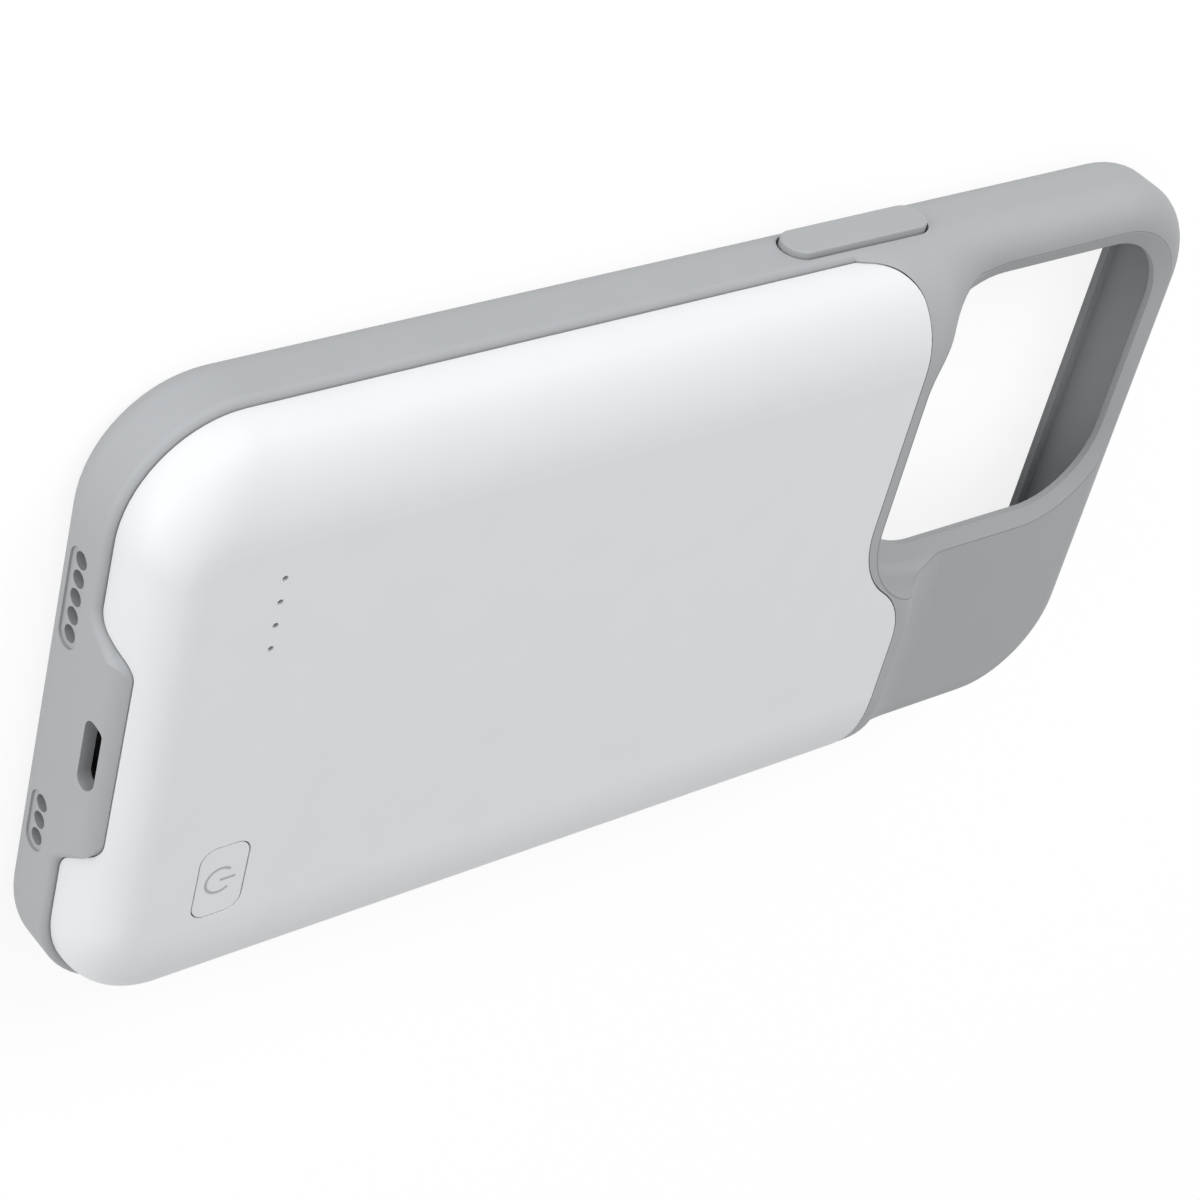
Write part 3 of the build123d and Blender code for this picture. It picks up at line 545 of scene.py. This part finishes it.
class CASE_OT_phone_plug(bpy.types.Operator):
    """Plug that enters the phone, with its block, flat circuit and contacts"""

    bl_idname = "charging_case.phone_plug"
    bl_label = "Phone plug"

    def execute(self, context):
        colours, details = context.scene.case_colours, context.scene.case_details
        steel = drawn_metal("plug_shell_steel", colours.steel, 0.3, DRAWN_STREAK)
        dress(("phone_plug_shell",), steel)
        black = moulding("plug_plastic", colours.black, 0.55, 0.6 * details.grain, 0.5 * details.grain_depth)
        dress(("phone_plug_core", "plug_block"), black)
        film = Finish("flat_circuit_film", {"IOR": 1.6})
        track = film.from_nearest("X", 0.0, details.flex_pitch) < details.flex_track
        film.colour(film.tone(track, shade(colours.film), shade(colours.gold, 0.7)))
        film.metal(track * 0.5)
        film.roughness(0.34 + 0.1 * film.noise(0.0005))
        film.relief(track, 0.00001)
        dress(("plug_flex",), film)
        low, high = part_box("phone_plug_core")
        rise = details.plug_slot / 2 - details.contact_thickness / 4
        start, stop = high.y - details.plug_contact_start, high.y - details.plug_contact_end
        rows = contact_rows(details, (low.z + high.z) / 2, rise, start, stop)
        gold = drawn_metal("plug_contact_gold", colours.gold, 0.28, CONTACT_STREAK)
        contacts = add_piece("plug_contacts", rows, gold, BODY)
        soften(contacts, 0.012 * MM)
        return {"FINISHED"}


class CASE_OT_main_board(bpy.types.Operator):
    """Lacquered board with its chips, inductor, capacitors, lights and switch"""

    bl_idname = "charging_case.main_board"
    bl_label = "Main board"

    def execute(self, context):
        colours, details = context.scene.case_colours, context.scene.case_details
        dress(("main_board",), solder_mask("main_board_lacquer", colours.lacquer, colours.gold, details.main_track))
        for name in ("charger_chip", "controller_chip"):
            dress((name,), chip_epoxy(f"{name}_resin", colours.resin, name))
        self.inductor(colours)
        self.capacitors(colours, details)
        self.light_chips(colours, details)
        self.switch(colours, details)
        return {"FINISHED"}

    def inductor(self, colours):
        low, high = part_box("power_inductor")
        finish = Finish("inductor_ferrite", {"IOR": 1.6})
        fine = finish.noise(0.00015, 3.0)
        reach = abs(finish.along("X") - (low.x + high.x) / 2)
        foot = (reach > 0.42 * (high.x - low.x)) * (finish.along("Z") < low.z + 0.0006)
        body = finish.tone(fine, shade(colours.ferrite, 0.75), shade(colours.ferrite, 1.3))
        finish.colour(finish.tone(foot, body, shade(colours.nickel)))
        finish.metal(foot * 1.0)
        finish.roughness(0.7 - 0.35 * foot)
        finish.relief(fine, 0.00001)
        dress(("power_inductor",), finish)

    def capacitors(self, colours, details):
        low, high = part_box("capacitors")
        width = details.capacitor_width
        pitch = (high.x - low.x - width) / (details.capacitor_count - 1)
        finish = Finish("capacitor_ceramic", {"IOR": 1.7})
        end = finish.from_nearest("X", low.x + width / 2, pitch) > 0.28 * width
        fine = finish.noise(0.00006)
        body = finish.tone(fine, shade(colours.ceramic, 0.9), shade(colours.ceramic, 1.1))
        finish.colour(finish.tone(end, body, shade(colours.nickel, 1.1)))
        finish.metal(end * 1.0)
        finish.roughness(0.45 - 0.1 * end + 0.1 * fine)
        finish.relief(end, 0.00001)
        dress(("capacitors",), finish)

    def light_chips(self, colours, details):
        low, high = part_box("indicator_leds")
        width = details.light_width
        pitch = (high.x - low.x - width) / (details.light_count - 1)
        finish = Finish("light_chip_housing", {"IOR": 1.5})
        across = finish.from_nearest("X", low.x + width / 2, pitch)
        ahead = finish.along("Y") - (low.y + high.y) / 2
        window = finish.math("SQRT", across * across + ahead * ahead) < details.light_window
        fine = finish.noise(0.00008)
        body = finish.tone(fine, shade(colours.white, 0.92), shade(colours.white))
        finish.colour(finish.tone(window, body, shade(colours.phosphor)))
        finish.roughness(0.4 - 0.2 * window)
        finish.relief(0.0 - window, 0.00004)
        dress(("indicator_leds",), finish)

    def switch(self, colours, details):
        low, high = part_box("tact_switch")
        finish = Finish("switch_body")
        plate = finish.along("Z") > high.z - 0.00025
        streak = finish.noise((0.003, 0.0001, 0.0001))
        steel = finish.tone(streak, shade(colours.steel, 0.85), shade(colours.steel, 1.1))
        finish.colour(finish.tone(plate, shade(colours.black), steel))
        finish.metal(plate * 1.0)
        finish.roughness(0.5 - 0.2 * plate + 0.1 * streak)
        finish.relief(streak, 0.000003)
        dress(("tact_switch",), finish)
        plunger = moulding("plunger_plastic", colours.black, 0.45, 0.5 * details.grain, 0.5 * details.grain_depth)
        dress(("switch_plunger",), plunger)


class CASE_OT_battery(bpy.types.Operator):
    """Foil cell with its tabs, protection board, wires and foam pad"""

    bl_idname = "charging_case.battery"
    bl_label = "Battery"

    def execute(self, context):
        colours, details = context.scene.case_colours, context.scene.case_details
        foil = Finish("cell_foil", {"Metallic": 0.85})
        crease = foil.noise(0.009, 4.0)
        streak = foil.noise((0.0002, 0.02, 0.0002))
        foil.colour(foil.tone(streak, shade(colours.foil, 0.9), shade(colours.foil, 1.05)))
        foil.roughness(0.34 + 0.12 * crease)
        foil.relief(crease + 0.02 * streak, 0.0001)
        dress(("battery_cell",), foil)
        guard = solder_mask("guard_board_lacquer", colours.lacquer, colours.gold, details.guard_track)
        dress(("protection_board",), guard)
        tabs = drawn_metal("cell_tab_nickel", colours.nickel, 0.36, (0.0001, 0.003, 0.003))
        dress(("cell_tabs",), tabs)
        sleeve = Finish("wire_sleeves", {"IOR": 1.46})
        red = sleeve.along("X") > 0.0
        print_mark = sleeve.noise(0.0004)
        sleeve.colour(sleeve.tone(red, shade(colours.black, 1.5), shade(colours.red)))
        sleeve.roughness(0.38 + 0.12 * print_mark)
        sleeve.relief(print_mark, 0.00001)
        dress(("lead_wires",), sleeve)
        foam = Finish("pad_foam", {"IOR": 1.4})
        pore = foam.cells(details.foam_pore)
        # painted shade: each pore darkens toward its middle, where the relief dips, as if shadowed inside the pore
        foam.colour(foam.tone(pore, shade(colours.foam, 0.5), shade(colours.foam, 1.4)))
        foam.roughness(0.85 + 0.1 * pore)
        foam.relief(pore, 0.00015)
        dress(("cell_pad",), foam)
        return {"FINISHED"}


def seen_directly(tree):
    """1 on rays that look at a surface straight, in a mirror or through glass, and 0 on rays that only light."""
    names = ("Is Camera Ray", "Is Glossy Ray", "Is Transmission Ray")
    return tree.largest(*[tree.node("ShaderNodeLightPath", output=name) for name in names])


class CASE_OT_studio(bpy.types.Operator):
    """White floor, soft lamps, even sky and the camera"""

    bl_idname = "charging_case.studio"
    bl_label = "Studio"

    def execute(self, context):
        stage = context.scene.case_stage
        context.scene.view_settings.view_transform = "Standard"
        self.floor(stage)
        self.sky(context, stage)
        for name, place, size in LAMPS:
            self.lamp(name, place, size, getattr(stage, name))
        self.camera(context, stage)
        return {"FINISHED"}

    def floor(self, stage):
        """Flat grid whose points are every pairing of even places along X with the same places along Y."""
        places = np.linspace(-FLOOR_HALF, FLOOR_HALF, FLOOR_POINTS)
        across, ahead = np.meshgrid(places, places, indexing="ij")
        points = np.stack((across.ravel(), ahead.ravel(), np.full(across.size, -FLOOR_DROP)), axis=1)
        first = np.arange(FLOOR_POINTS - 1)
        corner = (first[:, None] * FLOOR_POINTS + first).ravel()
        faces = np.stack((corner, corner + FLOOR_POINTS, corner + FLOOR_POINTS + 1, corner + 1), axis=1)
        mesh = bpy.data.meshes.new("floor")
        mesh.from_pydata(points.tolist(), [], faces.tolist())
        floor = bpy.data.objects.new("floor", mesh)
        bpy.context.scene.collection.objects.link(floor)
        finish = Finish("floor_white")
        lit = finish.node("ShaderNodeBsdfDiffuse", inputs={"Color": FLOOR_COLOUR})
        glow = finish.node("ShaderNodeEmission", inputs={"Strength": stage.floor_glow})
        tone = finish.node("ShaderNodeBsdfDiffuse", inputs={"Color": (*[stage.floor_tone] * 3, 1.0)})
        shown = finish.node("ShaderNodeAddShader", inputs={0: glow, 1: tone})
        both = finish.node("ShaderNodeMixShader", inputs={0: seen_directly(finish), 1: lit, 2: shown})
        finish.feed(finish.nodes["Material Output"].inputs["Surface"], both)
        mesh.materials.append(finish.material)

    def sky(self, context, stage):
        world = bpy.data.worlds.new("studio_sky")
        world.use_nodes = True
        context.scene.world = world
        tree = NodeTree(world.node_tree)
        even = tree.node("ShaderNodeBackground", inputs={"Strength": stage.sky})
        white = tree.node("ShaderNodeBackground", inputs={"Strength": 1.0})
        for background in (even, white):
            background.socket.node.inputs["Color"].default_value = (1.0, 1.0, 1.0, 1.0)
        both = tree.node("ShaderNodeMixShader", inputs={0: seen_directly(tree), 1: even, 2: white})
        tree.feed(tree.nodes["World Output"].inputs["Surface"], both)

    def lamp(self, name, place, size, power):
        data = bpy.data.lights.new(name, "AREA")
        data.shape = "RECTANGLE"
        data.size, data.size_y = size
        data.energy = power
        lamp = bpy.data.objects.new(name, data)
        lamp.location = place
        lamp.rotation_mode = "QUATERNION"
        lamp.rotation_quaternion = (-Vector(place)).to_track_quat("-Z", "Y")
        lamp.visible_camera = False
        bpy.context.scene.collection.objects.link(lamp)

    def camera(self, context, stage):
        data = bpy.data.cameras.new("camera")
        data.sensor_width = SENSOR_WIDTH
        data.lens = stage.lens
        data.clip_start, data.clip_end = 0.01, 10.0
        camera = bpy.data.objects.new("camera", data)
        ahead, up = Vector(CAMERA_AHEAD), Vector(CAMERA_UP)
        turn = Matrix((ahead.cross(up), up, -ahead)).transposed()
        camera.matrix_world = Matrix.Translation(CAMERA_PLACE) @ turn.to_4x4()
        context.scene.collection.objects.link(camera)
        context.scene.camera = camera


OPERATORS = (
    CASE_OT_soft_frame,
    CASE_OT_white_cover,
    CASE_OT_power_symbol,
    CASE_OT_charging_port,
    CASE_OT_phone_plug,
    CASE_OT_main_board,
    CASE_OT_battery,
    CASE_OT_studio,
)


class CASE_PT_sidebar(bpy.types.Panel):
    """Steps that finish the charging case"""

    bl_idname = "CASE_PT_sidebar"
    bl_label = "Charging case"
    bl_space_type = "VIEW_3D"
    bl_region_type = "UI"
    bl_category = "Charging case"

    def draw(self, context):
        for operator in OPERATORS:
            self.layout.operator(operator.bl_idname)


GROUPS = {"case_colours": CaseColours, "case_details": CaseDetails, "case_stage": CaseStage}


def register():
    for group in GROUPS.values():
        bpy.utils.register_class(group)
    for name, group in GROUPS.items():
        setattr(bpy.types.Scene, name, PointerProperty(type=group))
    for operator in OPERATORS:
        bpy.utils.register_class(operator)
    bpy.utils.register_class(CASE_PT_sidebar)


def unregister():
    bpy.utils.unregister_class(CASE_PT_sidebar)
    for operator in reversed(OPERATORS):
        bpy.utils.unregister_class(operator)
    for name, group in GROUPS.items():
        delattr(bpy.types.Scene, name)
        bpy.utils.unregister_class(group)


def main():
    register()
    bpy.ops.charging_case.soft_frame()
    bpy.ops.charging_case.white_cover()
    bpy.ops.charging_case.power_symbol()
    bpy.ops.charging_case.charging_port()
    bpy.ops.charging_case.phone_plug()
    bpy.ops.charging_case.main_board()
    bpy.ops.charging_case.battery()
    bpy.ops.charging_case.studio()


if __name__ == "__main__":
    main()
